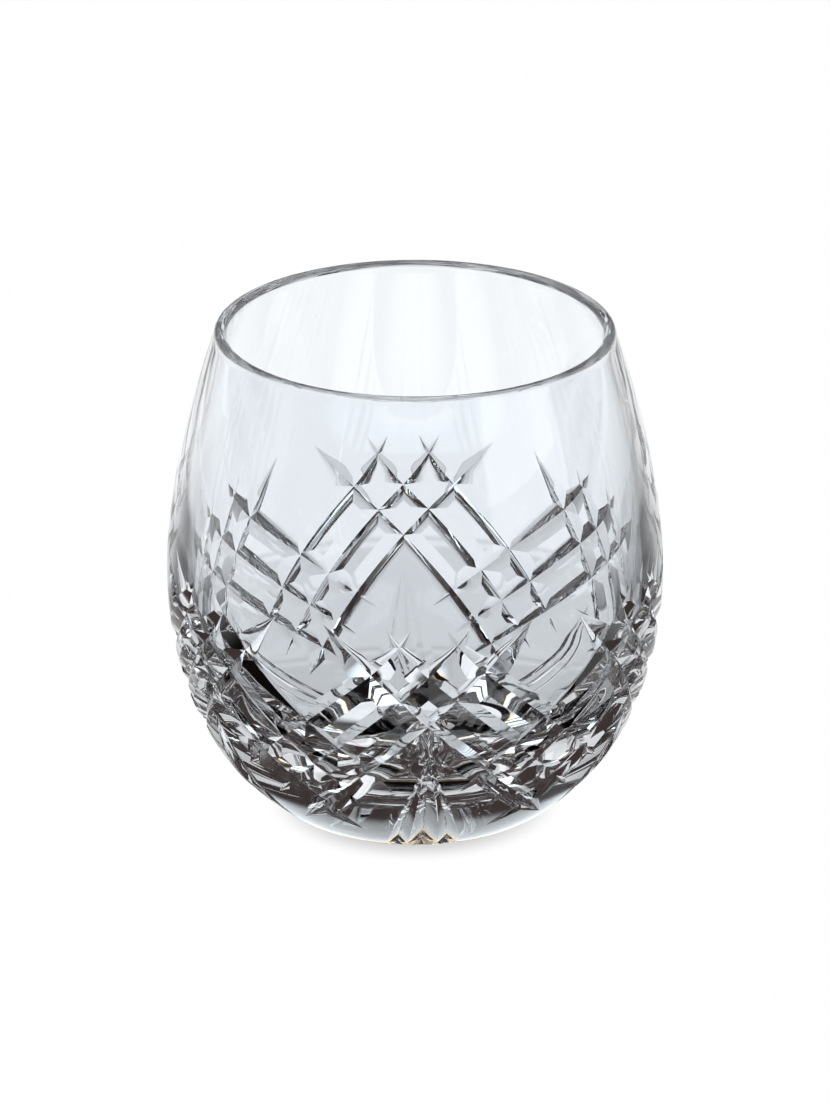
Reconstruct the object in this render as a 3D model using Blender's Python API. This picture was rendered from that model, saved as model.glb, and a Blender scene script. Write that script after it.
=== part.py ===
"""A hand-cut crystal whiskey tumbler, modelled the way the real one is made.

A tumbler like this is one piece of glass. It is blown to a barrel shape, with a heavy
base, and its mouth is polished round. The pattern is then ground into the cold glass
with V-edged wheels, so here too the blown blank comes first and every cut is taken out
of it. Nothing is joined on.

Metres, +Z up. The origin is the middle of the foot, and a crown of the pattern faces -Y.
"""

import math

import bmesh
import bpy
import numpy as np
from mathutils import Vector

# ---------------------------------------------------------------- driving dimensions
HEIGHT = 0.0900
BELLY_RADIUS = 0.0437
BELLY_HEIGHT = 0.0455
MOUTH_RADIUS = 0.0345
FOOT_RADIUS = 0.0180
SHOULDER_POWER = 1.69
HEEL_POWER = 2.20
HEEL_FULLNESS = 1.62

# The hollow inside
LIP_WALL = 0.0022
BELLY_WALL = 0.0034
BASE_THICKNESS = 0.0135
BOWL_POWER = 2.60
BOWL_FULLNESS = 2.40

# The shallow polished hollow under the foot, which leaves a ring to stand on
HOLLOW_RADIUS = 0.0110
HOLLOW_DEPTH = 0.0006

# The mitre cuts. Each crown has three lines leaning right and three leaning left. A line
# is given by the height where it crosses its mirror image midway between two crowns, by
# how far it leans from upright there and at its tip, and by the height of its lower end.
CROWNS = 6
MITRE_LINES = (
    (0.0313, math.radians(49), math.radians(28), 0.0187),
    (0.0217, math.radians(47), math.radians(28), 0.0140),
    (0.0130, math.radians(45), math.radians(39), 0.0082),
)
TIP_HEIGHT = 0.0513
LEAN_CHANGE_HEIGHT = 0.0410
MITRE_DEPTHS = {"right": 0.00151, "left": 0.00145}
MITRE_RUN_OUT = 0.0090

# The fan of flutes under each crown. A flute is given by how far its lower end is turned
# from the crown's middle, and by its greatest depth.
FLUTES = (
    (math.radians(-11.5), 0.00125),
    (math.radians(0), 0.00188),
    (math.radians(11.5), 0.00125),
)
FAN_TOP_HEIGHT = 0.0265
FAN_BOTTOM_HEIGHT = 0.0006
FLUTE_RUN_OUT = 0.0045

# The angle between the two faces of every wheel's edge
WHEEL_ANGLE = math.radians(120.6)

# How finely the curved surfaces are divided
ROUND_STEPS = 54
SHOULDER_STEPS = 5
HEEL_STEPS = 9
LIP_STEPS = 4
BOWL_STEPS = 8
MITRE_STEP = 0.0055
FLUTE_STEPS = 8
HOLLOW_STEPS = 2
SURFACE_SAMPLES = 600
CUTTER_RISE = 0.0012
MERGE_DISTANCE = 1e-6


# ---------------------------------------------------------------- the blank's outline
def shoulder_radius(height, belly, mouth):
    """Above the belly the wall draws in by a power of the height over the belly."""
    rise = (height - BELLY_HEIGHT) / (HEIGHT - BELLY_HEIGHT)
    return belly - (belly - mouth) * rise**SHOULDER_POWER


def closing_radius(height, bottom, foot, belly, power, fullness):
    """Below the belly the wall closes to the foot along a superellipse."""
    drop = (BELLY_HEIGHT - height) / (BELLY_HEIGHT - bottom)
    return foot + (belly - foot) * (1 - drop**power) ** (1 / fullness)


def outer_radius(height):
    """The blank's outer radius at one height, before anything is cut."""
    if height >= BELLY_HEIGHT:
        return shoulder_radius(min(height, HEIGHT), BELLY_RADIUS, MOUTH_RADIUS)
    return closing_radius(
        max(height, 0.0), 0.0, FOOT_RADIUS, BELLY_RADIUS, HEEL_POWER, HEEL_FULLNESS
    )


def hollow_height(radius):
    """The underside's hollow is a parabola, deepest in the middle."""
    return HOLLOW_DEPTH * (1 - (radius / HOLLOW_RADIUS) ** 2)


def closing_heights(bottom, steps):
    """Heights from the belly to the bottom, closer together where the wall turns in."""
    quarter = np.linspace(0, math.pi / 2, steps + 1)
    return [BELLY_HEIGHT - (BELLY_HEIGHT - bottom) * math.sin(turn) for turn in quarter]


def blank_outline():
    """Points (radius, height) from the middle of the underside round to the bowl's middle."""
    lip = LIP_WALL / 2
    shoulder = list(np.linspace(BELLY_HEIGHT, HEIGHT - lip, SHOULDER_STEPS + 1))
    inner_belly = BELLY_RADIUS - BELLY_WALL
    inner_mouth = MOUTH_RADIUS - LIP_WALL

    hollow = np.linspace(0.0, HOLLOW_RADIUS, HOLLOW_STEPS + 1)
    outline = [(radius, hollow_height(radius)) for radius in hollow]
    outline += [(outer_radius(z), z) for z in reversed(closing_heights(0.0, HEEL_STEPS))]
    outline += [(outer_radius(z), z) for z in shoulder[1:]]
    centre = outer_radius(HEIGHT - lip) - lip
    for step in range(1, LIP_STEPS):
        turn = math.pi * step / LIP_STEPS
        outline.append((centre + lip * math.cos(turn), HEIGHT - lip + lip * math.sin(turn)))
    for z in reversed(shoulder[1:]):
        outline.append((shoulder_radius(z, inner_belly, inner_mouth), z))
    for z in closing_heights(BASE_THICKNESS, BOWL_STEPS)[:-1]:
        radius = closing_radius(
            z, BASE_THICKNESS, 0.0, inner_belly, BOWL_POWER, BOWL_FULLNESS
        )
        outline.append((radius, z))
    outline.append((0.0, BASE_THICKNESS))
    return outline


def make_blank(name):
    """The blown glass: the outline spun once round the axis."""
    blank = bmesh.new()
    points = [blank.verts.new((0.0, -radius, height)) for radius, height in blank_outline()]
    edges = [blank.edges.new(pair) for pair in zip(points, points[1:])]
    bmesh.ops.spin(
        blank,
        geom=points + edges,
        cent=(0, 0, 0),
        axis=(0, 0, 1),
        angle=2 * math.pi,
        steps=ROUND_STEPS,
    )
    bmesh.ops.remove_doubles(blank, verts=blank.verts, dist=MERGE_DISTANCE)
    bmesh.ops.recalc_face_normals(blank, faces=blank.faces)
    return as_object(blank, name)


# ---------------------------------------------------------------- lines on the blank
class Meridian:
    """Arc length along the blank's outer outline, from the foot up."""

    def __init__(self):
        self.heights = np.linspace(0.0, HEIGHT, SURFACE_SAMPLES)
        self.radii = np.array([outer_radius(z) for z in self.heights])
        pieces = np.hypot(np.diff(self.heights), np.diff(self.radii))
        self.lengths = np.concatenate([[0.0], np.cumsum(pieces)])

    def length_at(self, height):
        return float(np.interp(height, self.heights, self.lengths))

    def height_at(self, length):
        return float(np.interp(length, self.lengths, self.heights))

    def place(self, turn, height):
        """A point on the blank, where turn is measured from -Y towards +X."""
        radius = outer_radius(height)
        return Vector((radius * math.sin(turn), -radius * math.cos(turn), height))

    def outward(self, turn, height):
        """The blank's outward normal there."""
        reach = HEIGHT / SURFACE_SAMPLES
        low = max(height - reach, 0.0)
        high = min(height + reach, HEIGHT)
        slope = (outer_radius(high) - outer_radius(low)) / (high - low)
        return Vector((math.sin(turn), -math.cos(turn), -slope)).normalized()


def lean_at(height, lean, lean_at_tip):
    """How far a mitre line leans from upright. It steepens inside the crown, up to its tip."""
    share = (height - LEAN_CHANGE_HEIGHT) / (TIP_HEIGHT - LEAN_CHANGE_HEIGHT)
    return lean + (lean_at_tip - lean) * min(max(share, 0.0), 1.0)


def mitre_line(meridian, crossing_height, lean, lean_at_tip, end_height):
    """Points (turn, height) of one line, from its tip down to its end.

    The line is walked up and down the blank from where it crosses its mirror image. At
    each step it turns by the tangent of its lean times the step's length over the radius.
    """
    anchor = meridian.length_at(crossing_height)

    def walk(end):
        count = max(2, round(abs(end - anchor) / MITRE_STEP))
        step = (end - anchor) / count
        turn = math.pi / CROWNS
        points = [(turn, meridian.height_at(anchor))]
        for index in range(count):
            middle = meridian.height_at(anchor + (index + 0.5) * step)
            slant = math.tan(lean_at(middle, lean, lean_at_tip))
            turn -= slant * step / outer_radius(middle)
            points.append((turn, meridian.height_at(anchor + (index + 1) * step)))
        return points

    upper = walk(meridian.length_at(TIP_HEIGHT))
    lower = walk(meridian.length_at(end_height))
    return upper[::-1] + lower[1:]


def mitre_depths(distances, full_depth):
    """Depth of a mitre cut along its length: it tapers evenly to nothing at each end."""
    nearest = np.minimum(distances, distances[-1] - distances)
    return full_depth * np.clip(nearest / MITRE_RUN_OUT, 0.0, 1.0)


def flute_depths(distances, full_depth):
    """Depth of a flute: it swells all the way down and leaves the glass in a short arc."""
    swell = 1 - (1 - distances / distances[-1]) ** 2
    left = np.clip((distances[-1] - distances) / FLUTE_RUN_OUT, 0.0, 1.0)
    return full_depth * swell * (1 - (1 - left) ** 2)


# ---------------------------------------------------------------- cutters
def v_cutter(name, points, outward, depths):
    """A V-edged bar that follows points on the blank, sunk by depths below its surface."""
    spread = math.tan(WHEEL_ANGLE / 2)
    cutter = bmesh.new()
    rings = []
    for index, point in enumerate(points):
        before = points[max(index - 1, 0)]
        after = points[min(index + 1, len(points) - 1)]
        along = (after - before).normalized()
        up = outward[index]
        side = along.cross(up).normalized()
        half = (depths[index] + CUTTER_RISE) * spread
        edge = point - up * depths[index]
        rim = point + up * CUTTER_RISE
        rings.append([cutter.verts.new(p) for p in (edge, rim + side * half, rim - side * half)])
    for ring, following in zip(rings, rings[1:]):
        for corner in range(3):
            beyond = (corner + 1) % 3
            cutter.faces.new((ring[corner], ring[beyond], following[beyond], following[corner]))
    cutter.faces.new(rings[0])
    cutter.faces.new(reversed(rings[-1]))
    bmesh.ops.triangulate(cutter, faces=cutter.faces)
    bmesh.ops.recalc_face_normals(cutter, faces=cutter.faces)
    obj = as_object(cutter, name)
    obj.hide_render = True
    obj.display_type = "WIRE"
    return obj


def mitre_cutters(meridian):
    """Every mitre line of every crown, and its mirror image."""
    cutters = []
    for number, shape in enumerate(MITRE_LINES, start=1):
        line = mitre_line(meridian, *shape)
        flat = [meridian.place(turn, height) for turn, height in line]
        gaps = [(b - a).length for a, b in zip(flat, flat[1:])]
        distances = np.concatenate([[0.0], np.cumsum(gaps)])
        for crown in range(CROWNS):
            middle = 2 * math.pi * crown / CROWNS
            for side, word in ((1, "right"), (-1, "left")):
                depths = mitre_depths(distances, MITRE_DEPTHS[word])
                turns = [middle + side * turn for turn, _ in line]
                points = [meridian.place(t, z) for t, (_, z) in zip(turns, line)]
                outward = [meridian.outward(t, z) for t, (_, z) in zip(turns, line)]
                name = f"mitre_{word}_{number}_crown_{crown + 1}"
                cutters.append(v_cutter(name, points, outward, depths))
    return cutters


def fan_cutters(meridian):
    """Flutes that spread from one point under each crown down to the foot."""
    cutters = []
    top = meridian.length_at(FAN_TOP_HEIGHT)
    bottom = meridian.length_at(FAN_BOTTOM_HEIGHT)
    shares = np.linspace(0.0, 1.0, FLUTE_STEPS + 1)
    distances = (top - bottom) * shares
    heights = [meridian.height_at(top - distance) for distance in distances]
    for crown in range(CROWNS):
        middle = 2 * math.pi * crown / CROWNS
        for number, (reach, full_depth) in enumerate(FLUTES, start=1):
            depths = flute_depths(distances, full_depth)
            turns = middle + reach * shares
            points = [meridian.place(t, z) for t, z in zip(turns, heights)]
            outward = [meridian.outward(t, z) for t, z in zip(turns, heights)]
            name = f"flute_{number}_crown_{crown + 1}"
            cutters.append(v_cutter(name, points, outward, depths))
    return cutters


def cut(blank, cutters):
    """Takes every cutter out of the blank, one after another."""
    for cutter in cutters:
        modifier = blank.modifiers.new(cutter.name, "BOOLEAN")
        modifier.operation = "DIFFERENCE"
        modifier.solver = "EXACT"
        modifier.object = cutter


# ---------------------------------------------------------------- objects and material
def as_object(mesh_source, name):
    mesh = bpy.data.meshes.new(name)
    mesh_source.to_mesh(mesh)
    mesh_source.free()
    obj = bpy.data.objects.new(name, mesh)
    bpy.context.scene.collection.objects.link(obj)
    return obj


def crystal():
    """Clear polished crystal, with the faint cool grey of lead glass."""
    material = bpy.data.materials.new("crystal")
    material.use_nodes = True
    shader = material.node_tree.nodes["Principled BSDF"]
    shader.inputs["Base Color"].default_value = (0.93, 0.96, 0.98, 1.0)
    shader.inputs["Roughness"].default_value = 0.02
    shader.inputs["Metallic"].default_value = 0.0
    shader.inputs["IOR"].default_value = 1.54
    shader.inputs["Transmission Weight"].default_value = 1.0
    return material


def shade(obj):
    obj.data.shade_smooth()
    obj.data.set_sharp_from_angle(angle=math.radians(30))


def main():
    for obj in list(bpy.data.objects):
        bpy.data.objects.remove(obj)
    meridian = Meridian()
    tumbler = make_blank("tumbler")
    tumbler.data.materials.append(crystal())
    shade(tumbler)
    cut(tumbler, mitre_cutters(meridian) + fan_cutters(meridian))


main()
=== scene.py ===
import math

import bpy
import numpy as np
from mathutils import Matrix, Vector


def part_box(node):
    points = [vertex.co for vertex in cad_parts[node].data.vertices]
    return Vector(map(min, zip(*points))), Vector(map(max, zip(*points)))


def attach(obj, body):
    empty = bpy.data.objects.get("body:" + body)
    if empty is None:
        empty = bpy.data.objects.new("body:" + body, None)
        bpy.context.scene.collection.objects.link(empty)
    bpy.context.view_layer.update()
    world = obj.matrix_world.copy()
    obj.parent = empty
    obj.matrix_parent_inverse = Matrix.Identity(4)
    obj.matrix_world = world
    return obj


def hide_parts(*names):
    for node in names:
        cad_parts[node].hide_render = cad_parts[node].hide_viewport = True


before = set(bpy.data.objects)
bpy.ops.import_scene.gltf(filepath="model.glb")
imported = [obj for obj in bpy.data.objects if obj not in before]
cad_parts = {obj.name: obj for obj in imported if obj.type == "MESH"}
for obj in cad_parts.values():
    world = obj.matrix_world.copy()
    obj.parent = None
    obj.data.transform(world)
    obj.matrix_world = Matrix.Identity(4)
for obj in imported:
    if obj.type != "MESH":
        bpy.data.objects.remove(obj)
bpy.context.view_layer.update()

# %% [markdown]
# # A hand-cut crystal whiskey tumbler
#
# A tumbler like this is one piece of glass. It is blown to a barrel shape, its mouth is
# polished round, and its pattern is ground into the cold glass with V-edged wheels. Clear
# glass shows every surface at once, near and far, so its look comes from true shape far
# more than from its material. This lesson turns the blown outline on the axis, grinds each
# cut out of it, and lights it as cut glass is lit.

scene = bpy.context.scene
low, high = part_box("tumbler")
HEIGHT = high.z - low.z
MM = 1000
print("tumbler", round(MM * HEIGHT, 1), "mm high,", round(MM * (high.x - low.x), 1), "mm across")

# %% [markdown]
# ## The camera
#
# The tumbler is seen from a little above, through a long lens from about a metre away. A
# long lens keeps the mouth and the foot in nearly the same perspective. The camera looks
# at a point just above the middle of the glass, so it needs no shift.

# %% Camera
VIEW_DISTANCE = 1.0
VIEW_ELEVATION = math.radians(22.75)
VIEW_TURN = math.radians(-3.1)
AIM_HEIGHT = 0.0478
SENSOR_WIDTH = 0.036
LENS = 0.2463
CLIP_END = 20


def make_camera():
    """A camera on a sphere round the aim point: turn is measured from -Y towards +X."""
    level = VIEW_DISTANCE * math.cos(VIEW_ELEVATION)
    camera = bpy.data.objects.new("camera", bpy.data.cameras.new("camera"))
    scene.collection.objects.link(camera)
    aim = Vector((0, 0, AIM_HEIGHT))
    camera.location = aim + Vector((
        level * math.sin(VIEW_TURN),
        -level * math.cos(VIEW_TURN),
        VIEW_DISTANCE * math.sin(VIEW_ELEVATION),
    ))
    camera.rotation_euler = (aim - camera.location).to_track_quat("-Z", "Y").to_euler()
    camera.data.sensor_fit = "HORIZONTAL"
    camera.data.sensor_width = MM * SENSOR_WIDTH
    camera.data.lens = MM * LENS
    camera.data.clip_end = CLIP_END
    return camera


scene.camera = make_camera()
print("camera at", [round(value, 3) for value in scene.camera.location])

# %% [markdown]
# ## The blown outline
#
# The outside is a barrel. Over the belly the wall draws in by a power of the height, and
# under it the wall closes to the foot along a superellipse. The inside follows the same
# rules with its own numbers, so the wall thickens from the lip down to a heavy base. A
# curve through hand-placed points would do too, but two short rules stay smooth wherever
# they are sampled, and glass shows the smallest dent.

# %% Outline
BELLY_RADIUS, BELLY_HEIGHT = 0.0437, 0.0455
MOUTH_RADIUS, FOOT_RADIUS = 0.0345, 0.0180
SHOULDER_POWER, HEEL_POWER, HEEL_FULLNESS = 1.69, 2.20, 1.62
LIP_WALL, BELLY_WALL, BASE_THICKNESS = 0.0022, 0.0034, 0.0135
BOWL_POWER, BOWL_FULLNESS = 2.60, 2.40
HOLLOW_RADIUS, HOLLOW_DEPTH = 0.0110, 0.0006
CURVE_SAMPLES = 800
LIP_POINTS, HOLLOW_POINTS = 17, 12
FOOT_SPACING, OUTSIDE_SPACING, INSIDE_SPACING = 0.0012, 0.0009, 0.0011


def shoulder_radius(height, belly, mouth):
    """Belly radius less a power of the share of the way up to the mouth."""
    rise = np.clip((height - BELLY_HEIGHT) / (HEIGHT - BELLY_HEIGHT), 0, 1)
    return belly - (belly - mouth) * rise**SHOULDER_POWER


def closing_radius(height, bottom, foot, belly, power, fullness):
    """Foot radius plus a superellipse of the share of the way down to the bottom."""
    drop = np.clip((BELLY_HEIGHT - height) / (BELLY_HEIGHT - bottom), 0, 1)
    return foot + (belly - foot) * (1 - drop**power) ** (1 / fullness)


def outer_radius(height):
    """The blank's outer radius at each height of an array."""
    upper = shoulder_radius(height, BELLY_RADIUS, MOUTH_RADIUS)
    lower = closing_radius(height, 0, FOOT_RADIUS, BELLY_RADIUS, HEEL_POWER, HEEL_FULLNESS)
    return np.where(height >= BELLY_HEIGHT, upper, lower)


def inner_radius(height):
    """The bowl's radius at each height."""
    belly = BELLY_RADIUS - BELLY_WALL
    upper = shoulder_radius(height, belly, MOUTH_RADIUS - LIP_WALL)
    lower = closing_radius(height, BASE_THICKNESS, 0, belly, BOWL_POWER, BOWL_FULLNESS)
    return np.where(height >= BELLY_HEIGHT, upper, lower)


def evenly(points, spacing):
    """The same curve with its points moved to even steps of arc length."""
    steps = np.hypot(*np.diff(points, axis=0).T)
    along = np.concatenate([[0], np.cumsum(steps)])
    wanted = np.linspace(0, along[-1], max(2, round(along[-1] / spacing) + 1))
    return np.stack([np.interp(wanted, along, points[:, k]) for k in (0, 1)], axis=1)


def outline():
    """Points (radius, height) from the underside's middle, up the outside, round the lip
    on half a circle, and down the inside to the bowl's middle."""
    lip = LIP_WALL / 2
    quarter = np.linspace(0, math.pi / 2, CURVE_SAMPLES)
    hollow = np.linspace(0, HOLLOW_RADIUS, HOLLOW_POINTS)
    under = np.stack([hollow, HOLLOW_DEPTH * (1 - (hollow / HOLLOW_RADIUS) ** 2)], axis=1)
    foot = np.array([[HOLLOW_RADIUS, 0], [FOOT_RADIUS, 0]])
    heel = BELLY_HEIGHT * (1 - np.cos(quarter))
    shoulder = np.linspace(BELLY_HEIGHT, HEIGHT - lip, CURVE_SAMPLES)
    outside = np.concatenate([heel, shoulder[1:]])
    turn = np.linspace(0, math.pi, LIP_POINTS)
    centre = outer_radius(np.array([HEIGHT - lip]))[0] - lip
    rim = np.stack([centre + lip * np.cos(turn), HEIGHT - lip + lip * np.sin(turn)], axis=1)
    inside = BASE_THICKNESS + (BELLY_HEIGHT - BASE_THICKNESS) * (1 - np.cos(quarter))
    inside = np.concatenate([inside, shoulder[1:]])[::-1]
    return np.concatenate([
        under,
        evenly(foot, FOOT_SPACING)[1:-1],
        evenly(np.stack([outer_radius(outside), outside], axis=1), OUTSIDE_SPACING),
        rim[1:-1],
        evenly(np.stack([inner_radius(inside), inside], axis=1), INSIDE_SPACING),
    ])


profile = outline()
print("outline of", len(profile), "points")

# %% [markdown]
# ## Turning the outline on the axis
#
# The outline is carried round the axis on a grid of points and closed at its two poles. A
# Screw modifier could turn it, but worked out here each face corner can also be given the
# true normal of the surface. Glass bends light by its normals, and true ones keep a mesh
# of flat faces from looking faceted.

# %% Turned glass
ROUND_STEPS = 240


def mesh_object(name, points, faces, normals, material):
    """An object at the origin that keeps the surface's own normal at every face corner."""
    mesh = bpy.data.meshes.new(name)
    mesh.from_pydata(points.reshape(-1, 3).tolist(), [], faces)
    mesh.materials.append(material)
    kept = mesh.attributes.new("surface_normal", "FLOAT_VECTOR", "CORNER")
    kept.data.foreach_set("vector", np.asarray(normals, dtype=np.float32).ravel())
    obj = bpy.data.objects.new(name, mesh)
    scene.collection.objects.link(obj)
    return obj


def turned(name, rings, steps, material):
    """Radius and height carried round the axis: x = r sin t, y = -r cos t. The first and
    last points are poles. The normal lies in the meridian plane, square to the outline."""
    turn = np.linspace(0, 2 * math.pi, steps, endpoint=False)
    radius, height = rings[1:-1, 0, None], rings[1:-1, 1, None]
    grid = np.stack([radius * np.sin(turn), -radius * np.cos(turn), height + 0 * turn], axis=2)
    slope = np.gradient(rings, axis=0)
    slope /= np.linalg.norm(slope, axis=1, keepdims=True)
    out, rise = slope[1:-1, 1, None], -slope[1:-1, 0, None]
    normal = np.stack([out * np.sin(turn), -out * np.cos(turn), rise + 0 * turn], axis=2)
    count = len(grid) * steps
    poles = np.array([[0, 0, rings[0, 1]], [0, 0, rings[-1, 1]]])
    normals = np.concatenate([normal.reshape(-1, 3), [[0, 0, -1], [0, 0, 1]]])
    index = np.arange(count).reshape(len(grid), steps)
    ahead = np.roll(index, -1, axis=1)
    quads = np.stack([index[:-1], ahead[:-1], ahead[1:], index[1:]], axis=2).reshape(-1, 4)
    first = np.stack([np.full(steps, count), ahead[0], index[0]], axis=1)
    last = np.stack([np.full(steps, count + 1), index[-1], ahead[-1]], axis=1)
    faces = quads.tolist() + first.tolist() + last.tolist()
    corners = np.concatenate([quads.ravel(), first.ravel(), last.ravel()])
    points = np.concatenate([grid.reshape(-1, 3), poles])
    return mesh_object(name, points, faces, normals[corners], material)


# %% [markdown]
# ## Crystal
#
# Lead crystal bends light more than window glass does, so its index is 1.54. Light that
# crosses it comes out a little cool, because the lead oxide takes some red. The blown
# surface is fire-polished and the cuts are polished in acid. The acid eats the ground
# grain away but leaves a soft swell in each cut, a few millimetres long and far too low to
# feel. It is drawn with a broad, faint bump on the cut faces, which Object coordinates
# keep in place on the glass.

# %% Crystal
CRYSTAL_COLOUR = (0.945, 0.972, 1.0, 1.0)
CRYSTAL_INDEX = 1.54
SWELL_SCALE, SWELL_DETAIL, SWELL_HEIGHT = 260.0, 1.0, 0.00002


def crystal(name, swell_height):
    """Clear glass whose normal sways with a noise of the place on the object."""
    material = bpy.data.materials.new(name)
    material.use_nodes = True
    nodes, links = material.node_tree.nodes, material.node_tree.links
    shader = nodes["Principled BSDF"]
    shader.inputs["Base Color"].default_value = CRYSTAL_COLOUR
    shader.inputs["Roughness"].default_value = 0.0
    shader.inputs["IOR"].default_value = CRYSTAL_INDEX
    shader.inputs["Transmission Weight"].default_value = 1.0
    if swell_height:
        place_on_glass = nodes.new("ShaderNodeTexCoord")
        swell = nodes.new("ShaderNodeTexNoise")
        swell.inputs["Scale"].default_value = SWELL_SCALE
        swell.inputs["Detail"].default_value = SWELL_DETAIL
        bump = nodes.new("ShaderNodeBump")
        bump.inputs["Distance"].default_value = swell_height
        links.new(place_on_glass.outputs["Object"], swell.inputs["Vector"])
        links.new(swell.outputs["Fac"], bump.inputs["Height"])
        links.new(bump.outputs["Normal"], shader.inputs["Normal"])
    return material


polished = crystal("polished_crystal", 0)
acid_polished = crystal("acid_polished_cuts", SWELL_HEIGHT)
glass = turned("cut_crystal", profile, ROUND_STEPS, polished)
print("blank of", len(glass.data.polygons), "faces")

# %% [markdown]
# ## Lines on the blank
#
# The pattern is six crowns round the glass. Each crown has three lines leaning right and
# three leaning left. A cutter marks such a line by where it crosses its mirror image
# midway between two crowns, and by how far it leans from upright. Walking up the blank,
# the turn grows by the tangent of the lean over the radius, so a line keeps its lean
# while the barrel swells and narrows under it.

# %% Lines on the blank
CROWNS = 6
MITRE_LINES = (  # crossing height, lean, lean at the tip, height of the lower end
    (0.0313, math.radians(49), math.radians(28), 0.0187),
    (0.0217, math.radians(47), math.radians(28), 0.0140),
    (0.0130, math.radians(45), math.radians(39), 0.0082),
)
TIP_HEIGHT, LEAN_CHANGE_HEIGHT = 0.0513, 0.0410
LINE_POINTS = 46
SURFACE_SAMPLES = 4000

samples = np.linspace(0, HEIGHT, SURFACE_SAMPLES)
sample_radii = outer_radius(samples)
sample_steps = np.hypot(np.diff(samples), np.diff(sample_radii))
sample_lengths = np.concatenate([[0], np.cumsum(sample_steps)])
sample_slopes = np.gradient(sample_radii, samples)


def place(turn, height):
    """Points on the blank: turn is measured from -Y towards +X."""
    radius = outer_radius(height)
    return np.stack([radius * np.sin(turn), -radius * np.cos(turn), height + 0 * turn], axis=-1)


def outward(turn, height):
    """Unit normals of the blank: level outward, tipped by minus the slope of the radius."""
    slope = np.interp(height, samples, sample_slopes)
    normal = np.stack([np.sin(turn), -np.cos(turn), -slope + 0 * turn], axis=-1)
    return normal / np.linalg.norm(normal, axis=-1, keepdims=True)


def mitre_line(crossing_height, lean, lean_at_tip, end_height):
    """Turn and height along one line. The turn is the running sum, along the meridian, of
    the tangent of the lean over the radius, counted from midway between two crowns."""
    ends = np.interp([TIP_HEIGHT, end_height], samples, sample_lengths)
    lengths = np.linspace(*ends, LINE_POINTS)
    heights = np.interp(lengths, sample_lengths, samples)
    share = (heights - LEAN_CHANGE_HEIGHT) / (TIP_HEIGHT - LEAN_CHANGE_HEIGHT)
    leans = lean + (lean_at_tip - lean) * np.clip(share, 0, 1)
    rate = np.tan(leans) / outer_radius(heights)
    step = lengths[0] - lengths[1]
    turns = np.concatenate([[0], np.cumsum((rate[1:] + rate[:-1]) / 2 * step)])
    anchor = np.interp(-crossing_height, -heights, turns)
    return turns - anchor + math.pi / CROWNS, heights


for number, shape in enumerate(MITRE_LINES, start=1):
    line_turns, line_heights = mitre_line(*shape)
    print("line", number, "turns", round(math.degrees(np.ptp(line_turns))), "degrees as it climbs")

# %% [markdown]
# ## The wheel
#
# A V-edged wheel leaves a groove with a crisp crease. Acid then rounds the two shoulders,
# so each flank is steep at the crease and eases off towards the surface. Here the wheel
# is a solid bar with that section, carried along the line and taken out of the blank. It
# sinks and rises at the line's ends, which gives a mitre cut its spear-shaped tip. Each
# corner of the bar knows the normal that the cut glass will have.

# %% Wheel
CREASE_SLOPE, SHOULDER_SLOPE = 0.76, 0.38
SECTION = np.linspace(0, 1, 4)  # shares of the half width, from the crease out
CUTTER_RISE = 0.0010


def v_bar(name, turns, heights, halves):
    """A V section carried along points on the blank. From the crease the flank climbs at
    one slope and eases to a lower one at its shoulder, half a width away; past the
    shoulder it runs straight on to a rim above the glass."""
    points, up = place(turns, heights), outward(turns, heights)
    side = np.cross(np.gradient(points, axis=0), up)
    side /= np.linalg.norm(side, axis=1, keepdims=True)
    ease = (CREASE_SLOPE - SHOULDER_SLOPE) / 2
    climb = CREASE_SLOPE * SECTION - ease * SECTION**2
    across = halves[:, None] * SECTION
    above = halves[:, None] * (climb - climb[-1])
    across = np.concatenate([across, across[:, -1:] + CUTTER_RISE / SHOULDER_SLOPE], axis=1)
    above = np.concatenate([above, above[:, -1:] + CUTTER_RISE], axis=1)
    across = np.concatenate([across[:, :0:-1], -across], axis=1)
    above = np.concatenate([above[:, :0:-1], above], axis=1)
    grid = points[:, None] + side[:, None] * across[..., None] + up[:, None] * above[..., None]
    index = np.arange(across.size).reshape(across.shape)
    ahead = np.roll(index, -1, axis=1)
    quads = np.stack([index[:-1], ahead[:-1], ahead[1:], index[1:]], axis=2)
    caps = [index[0, ::-1].tolist(), index[-1].tolist()]
    corners = np.concatenate([
        flank_normals(grid, up, quads.shape).reshape(-1, 3),
        np.tile([0, 0, 1], (2 * index.shape[1], 1)),
    ])
    faces = quads.reshape(-1, 4).tolist() + caps
    return mesh_object(name, grid, faces, corners, acid_polished)


def flank_normals(grid, up, shape):
    """Normals at the corners of the two flanks' quads, each flank by itself: the way along
    the groove crossed with the way up the flank, turned to point out of the glass."""
    corners = np.zeros(shape + (3,))
    corners[..., 2] = 1
    along = np.gradient(grid, axis=0)
    crease = grid.shape[1] // 2
    for first, last in ((0, crease), (crease, grid.shape[1] - 1)):
        flank = slice(first, last + 1)
        square = np.cross(along[:, flank], np.gradient(grid[:, flank], axis=1))
        square *= np.sign(np.sum(square * up[:, None, :], axis=2, keepdims=True))
        square /= np.linalg.norm(square, axis=2, keepdims=True)
        near, far = square[:-1], square[1:]
        ring = [near[:, :-1], near[:, 1:], far[:, 1:], far[:, :-1]]
        corners[:, first:last] = np.stack(ring, axis=2)
    return corners


depth_share = (CREASE_SLOPE + SHOULDER_SLOPE) / 2
print("a cut's depth is", round(depth_share, 2), "of its half width")

# %% [markdown]
# ## The cuts
#
# The lines leaning right are a little wider than those leaning left, as on hand-cut glass.
# Three flutes spread from a point under each crown, swell as they go down, and run out at
# the foot.

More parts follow.
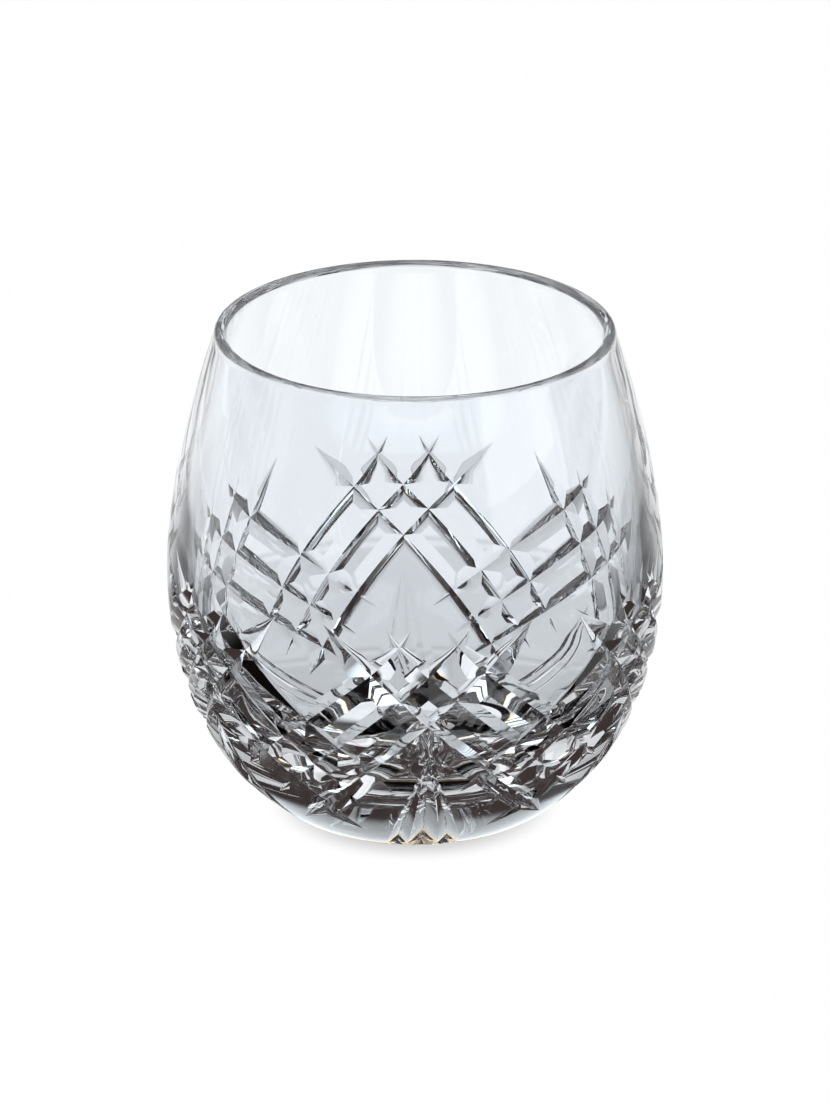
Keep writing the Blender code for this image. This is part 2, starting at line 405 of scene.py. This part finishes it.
# %% Cuts
MITRE_SIDES = ((1, "right", 0.00265), (-1, "left", 0.00255))  # lean, its word, half width
MITRE_RUN_OUT = 0.0090
FLUTES = ((-11.5, 0.0022), (0.0, 0.0033), (11.5, 0.0022))  # degrees of turn, half width
FAN_TOP_HEIGHT, FAN_BOTTOM_HEIGHT = 0.0265, 0.0006
FLUTE_RUN_OUT = 0.0045
FLUTE_POINTS = 31
THINNEST = 0.002


def mitre_bars():
    """Every line of every crown. A cut's half width is full but for a straight taper at
    both ends."""
    bars = []
    for number, shape in enumerate(MITRE_LINES, start=1):
        turns, heights = mitre_line(*shape)
        gaps = np.linalg.norm(np.diff(place(turns, heights), axis=0), axis=1)
        along = np.concatenate([[0], np.cumsum(gaps)])
        share = np.minimum(along, along[-1] - along) / MITRE_RUN_OUT
        share = np.clip(share, THINNEST, 1)
        for crown in range(CROWNS):
            middle = 2 * math.pi * crown / CROWNS
            for side, word, half in MITRE_SIDES:
                name = f"mitre_{word}_{number}_{crown + 1}"
                bars.append(v_bar(name, middle + side * turns, heights, half * share))
    return bars


def flute_bars():
    """The fans. A flute's half width grows as 1 - (1 - s)^2 with the share s of its length,
    and falls the same way over the last few millimetres."""
    share = np.linspace(0, 1, FLUTE_POINTS)
    top, bottom = np.interp([FAN_TOP_HEIGHT, FAN_BOTTOM_HEIGHT], samples, sample_lengths)
    lengths = top + (bottom - top) * share
    heights = np.interp(lengths, sample_lengths, samples)
    left = np.clip((lengths - bottom) / FLUTE_RUN_OUT, THINNEST, 1)
    swell = (1 - (1 - share) ** 2) * (1 - (1 - left) ** 2) + THINNEST
    bars = []
    for crown in range(CROWNS):
        middle = 2 * math.pi * crown / CROWNS
        for number, (reach, half) in enumerate(FLUTES, start=1):
            turns = middle + math.radians(reach) * share
            bars.append(v_bar(f"flute_{number}_{crown + 1}", turns, heights, half * swell))
    return bars


bars = mitre_bars() + flute_bars()
print("bars to cut with:", len(bars))

# %% [markdown]
# ## Grinding
#
# One Boolean takes all the bars away together. Its Manifold solver is quick, gives each
# cut face the bar's material, and carries the kept normals over to the new faces. They are
# then set as the mesh's own, so both the blown surface and the cuts shade as smooth
# surfaces with crisp edges between them.

# %% Grinding
def grind(blank, cutters):
    """Blank minus every cutter, as one mesh."""
    wheel = bpy.data.collections.new("wheel")
    scene.collection.children.link(wheel)
    for cutter in cutters:
        scene.collection.objects.unlink(cutter)
        wheel.objects.link(cutter)
    cut = blank.modifiers.new("cuts", "BOOLEAN")
    cut.operation = "DIFFERENCE"
    cut.solver = "MANIFOLD"
    cut.operand_type = "COLLECTION"
    cut.collection = wheel
    cut.material_mode = "TRANSFER"
    graph = bpy.context.evaluated_depsgraph_get()
    mesh = bpy.data.meshes.new_from_object(blank.evaluated_get(graph))
    blank.modifiers.clear()
    blank.data = mesh
    for cutter in cutters:
        bpy.data.objects.remove(cutter)
    bpy.data.collections.remove(wheel)


def use_kept_normals(mesh):
    """The normals carried in the corner attribute become the mesh's own."""
    kept = mesh.attributes["surface_normal"]
    normals = np.empty(3 * len(kept.data), dtype=np.float32)
    kept.data.foreach_get("vector", normals)
    mesh.shade_smooth()
    mesh.normals_split_custom_set(normals.reshape(-1, 3).tolist())


grind(glass, bars)
use_kept_normals(glass.data)
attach(glass, "root")
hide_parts("tumbler")
glass.data.calc_loop_triangles()
print("cut glass of", len(glass.data.loop_triangles), "triangles")

# %% [markdown]
# ## The sweep
#
# The tumbler stands on a plain pale sweep of paper that curves up all round it. The paper
# only shines, as evenly lit paper seems to, and a painted contact shadow makes it a little
# darker where the foot touches it. Glass sees its surroundings through every face, so what
# the camera sees behind the glass and what the glass itself sees are made apart, by ray
# visibility.

# %% Sweep
def shining(name):
    """A black surface that gives off the light stored at its points."""
    material = bpy.data.materials.new(name)
    material.use_nodes = True
    nodes, links = material.node_tree.nodes, material.node_tree.links
    shader = nodes["Principled BSDF"]
    shader.inputs["Base Color"].default_value = (0.0, 0.0, 0.0, 1.0)
    shader.inputs["Specular IOR Level"].default_value = 0.0
    shader.inputs["Emission Strength"].default_value = 1.0
    reader = nodes.new("ShaderNodeAttribute")
    reader.attribute_name = "light"
    links.new(reader.outputs["Color"], shader.inputs["Emission Color"])
    return material


def card(name, grid, light, seen_by_camera):
    """A grid of points joined by quads, with a colour of light at each point. Either the
    camera sees it or the glass does."""
    index = np.arange(grid.shape[0] * grid.shape[1]).reshape(grid.shape[:2])
    quads = np.stack([index[:-1, :-1], index[:-1, 1:], index[1:, 1:], index[1:, :-1]], axis=2)
    mesh = bpy.data.meshes.new(name)
    mesh.from_pydata(grid.reshape(-1, 3).tolist(), [], quads.reshape(-1, 4).tolist())
    mesh.materials.append(paper)
    alpha = np.ones(light.shape[:2] + (1,))
    colours = np.concatenate([light, alpha], axis=2).astype(np.float32)
    stored = mesh.attributes.new("light", "FLOAT_COLOR", "POINT")
    stored.data.foreach_set("color", colours.ravel())
    obj = bpy.data.objects.new(name, mesh)
    scene.collection.objects.link(obj)
    obj.visible_camera = seen_by_camera
    obj.visible_transmission = obj.visible_glossy = not seen_by_camera
    obj.visible_diffuse = obj.visible_shadow = obj.visible_volume_scatter = False
    return obj


def fade(value, start, end):
    """0 before start, 1 past end, and s^2 (3 - 2 s) of the share s between them."""
    share = np.clip((value - start) / (end - start), 0, 1)
    return share**2 * (3 - 2 * share)


GAP_UNDER_FOOT = 0.00005
SWEEP_RADIUS, SWEEP_CURVE, SWEEP_TOP = 2.2, 0.9, 3.0
FINE_REACH, NEXT_REACH = 0.06, 0.062
TURNS, FINE_RINGS, WIDE_RINGS, CURVE_RINGS = 97, 61, 40, 12
# Painted contact shadow: the sweep's light is dimmed to SHADE_AT_FOOT at the foot and rises to
# full white between SHADE_START and SHADE_END.
SHADE_AT_FOOT, SHADE_START, SHADE_END = 0.62, 0.0185, 0.0270
WHITE = np.array([1.0, 1.0, 1.0])

paper = shining("paper")
turn = np.linspace(0, 2 * math.pi, TURNS)
fine = np.linspace(0, FINE_REACH, FINE_RINGS)
flat = np.concatenate([fine, np.geomspace(NEXT_REACH, SWEEP_RADIUS, WIDE_RINGS)])
climb = np.linspace(0, math.pi / 2, CURVE_RINGS)[1:]
curve = SWEEP_RADIUS + SWEEP_CURVE * np.sin(climb)
reach = np.concatenate([flat, curve, curve[-1:]])
rise = np.concatenate([0 * flat, SWEEP_CURVE * (1 - np.cos(climb)), [SWEEP_TOP]])
level, height = reach[:, None], rise[:, None] - GAP_UNDER_FOOT + 0 * turn
sweep_grid = np.stack([level * np.sin(turn), -level * np.cos(turn), height], axis=2)
# The painted shadow round the foot, stored in the sweep's light.
shade = SHADE_AT_FOOT + (1 - SHADE_AT_FOOT) * fade(level + 0 * turn, SHADE_START, SHADE_END)
sweep = card("sweep", sweep_grid, shade[..., None] * WHITE, seen_by_camera=True)
print("sweep of", len(sweep.data.polygons), "faces")

# %% [markdown]
# ## The lit table and the dark room
#
# Cut glass is lit in a bright field: light comes through it from a lit table behind, and
# the room is kept dark, so that each facet that turns the view aside draws itself in grey
# or black. The table's light is laid out as soft patches, each between two distances from
# the glass and two angles from straight behind it. A tall softbox at the
# right makes the long window on the wall, a weak panel lifts the left, and a low backdrop
# closes the table's far edge, which only a view from near the ground meets.
#
# Heavy crystal splits white light at the edge of anything bright, into amber on one side
# and blue on the other. The path tracer bends all colours alike, so the ring of light round
# the foot has an amber inner edge and a cool outside, which the facets pick up as glints.
#
# Table and panels stand on a turntable, an empty that a constraint keeps facing the camera,
# so the light comes from behind the glass in every view. It is the one thing in the scene
# that moves with the camera.

# %% Lit table
TABLE_LIGHTS = (  # name, inside, outside, first and last angle, strength
    ("under the foot", -0.010, 0.020, -95, 95, 1.2),
    ("behind the foot", 0.020, 0.045, -80, 80, 0.70),
    ("near", 0.045, 0.100, -75, 75, 0.80),
    ("behind", 0.100, 0.400, -34, 34, 1.05),
    ("left of it", 0.190, 0.420, -120, -34, 0.85),
    ("right of it", 0.190, 0.420, 34, 120, 0.46),
    ("gap on the left", 0.100, 0.190, -80, -34, 0.14),
    ("gap on the right", 0.100, 0.190, 32, 80, 0.10),
    ("far", 0.400, 1.700, -80, 80, 0.80),
)
RING_INSIDE, RING_OUTSIDE, RING_FROM, RING_TO = 0.020, 0.032, 85, 275
RING_LIGHT = 2.0
COOL, AMBER = np.array([0.86, 0.95, 1.0]), np.array([1.0, 0.62, 0.18])
AMBER_WIDTH = 0.0030
SECTOR_SOFTNESS = 34
EDGE_SOFTNESS, LEAST_SOFTNESS = 0.1, 0.001
PANEL_DISTANCE = 1.6
TABLE_FINE_REACH, TABLE_NEXT_REACH = 0.2, 0.205
TABLE_TURNS, TABLE_FINE_RINGS, TABLE_WIDE_RINGS = 145, 201, 40
PANEL_COLUMNS, PANEL_ROWS = 25, 13
PANELS = (  # name, left, right, under and over angle, strength
    ("softbox", 36, 79, -5, 18, 1.2),
    ("left_panel", -105, -75, 25, 50, 0.3),
    ("low_backdrop", 140, 220, 0, 3.5, 0.7),
)


def within(value, start, end, soft):
    """1 between start and end and 0 outside, with smooth steps soft wide over both."""
    rise = fade(value, start - soft / 2, start + soft / 2)
    return rise * (1 - fade(value, end - soft / 2, end + soft / 2))


def patch(distance, angle, inside, outside, first, last):
    """A soft patch between two distances and two angles, which may run past 180. Its edges
    are softer the further out it starts."""
    soft = EDGE_SOFTNESS * inside + LEAST_SOFTNESS
    rings = within(distance, inside, outside, soft)
    sector = within(angle, first, last, SECTOR_SOFTNESS)
    return rings * np.maximum(sector, within(angle + 360, first, last, SECTOR_SOFTNESS))


fine = np.linspace(0, TABLE_FINE_REACH, TABLE_FINE_RINGS)
wide = np.geomspace(TABLE_NEXT_REACH, PANEL_DISTANCE, TABLE_WIDE_RINGS)
reach = np.concatenate([fine, wide])
distance, angle = np.meshgrid(reach, np.linspace(180, -180, TABLE_TURNS), indexing="ij")
x, y = distance * np.sin(np.radians(angle)), distance * np.cos(np.radians(angle))
white_light = sum(
    strength * patch(distance, angle, *limits) for _, *limits, strength in TABLE_LIGHTS
)
ring_light = RING_LIGHT * patch(distance, angle, RING_INSIDE, RING_OUTSIDE, RING_FROM, RING_TO)
amber_share = 1 - fade(distance, RING_INSIDE, RING_INSIDE + AMBER_WIDTH)
ring_colour = COOL + (AMBER - COOL) * amber_share[..., None]
table_light = white_light[..., None] * WHITE + ring_light[..., None] * ring_colour
table_grid = np.stack([x, y, 0 * x - GAP_UNDER_FOOT], axis=2)
rig = [card("lit_table", table_grid, table_light, seen_by_camera=False)]
for name, left, right, under, over, strength in PANELS:
    turn = np.radians(np.linspace(left, right, PANEL_COLUMNS))
    lift = np.radians(np.linspace(under, over, PANEL_ROWS))[:, None]
    level, height = PANEL_DISTANCE * np.cos(lift), PANEL_DISTANCE * np.sin(lift) + 0 * turn
    grid = np.stack([level * np.sin(turn), -level * np.cos(turn), height], axis=2)
    light = np.full(grid.shape, strength)
    rig.append(card(name, grid, light, seen_by_camera=False))

turntable = bpy.data.objects.new("turntable", None)
scene.collection.objects.link(turntable)
facing = turntable.constraints.new("LOCKED_TRACK")
facing.target = scene.camera
facing.track_axis = "TRACK_NEGATIVE_Y"
facing.lock_axis = "LOCK_Z"
for obj in rig:
    obj.parent = turntable
print("turntable carries", [obj.name for obj in rig])

# %% [markdown]
# ## The room and the last settings
#
# The dark room is a warm grey-brown, which is the colour of the heavy base where it shows
# nothing else. Light crosses many faces inside cut glass, so it is followed through more
# bounces than usual. The denoiser goes by the picture's own colours alone, because the
# guide pictures of a first surface say little about clear glass.

# %% Room
ROOM_COLOUR = (0.050, 0.036, 0.033, 1.0)
BOUNCES = 32

world = bpy.data.worlds.new("dark_room")
world.use_nodes = True
world.node_tree.nodes["Background"].inputs["Color"].default_value = ROOM_COLOUR
scene.world = world
scene.view_settings.view_transform = "Standard"
scene.cycles.denoising_input_passes = "RGB"
scene.cycles.max_bounces = BOUNCES
scene.cycles.transmission_bounces = BOUNCES
scene.cycles.glossy_bounces = BOUNCES
print("room colour", ROOM_COLOUR[:3])
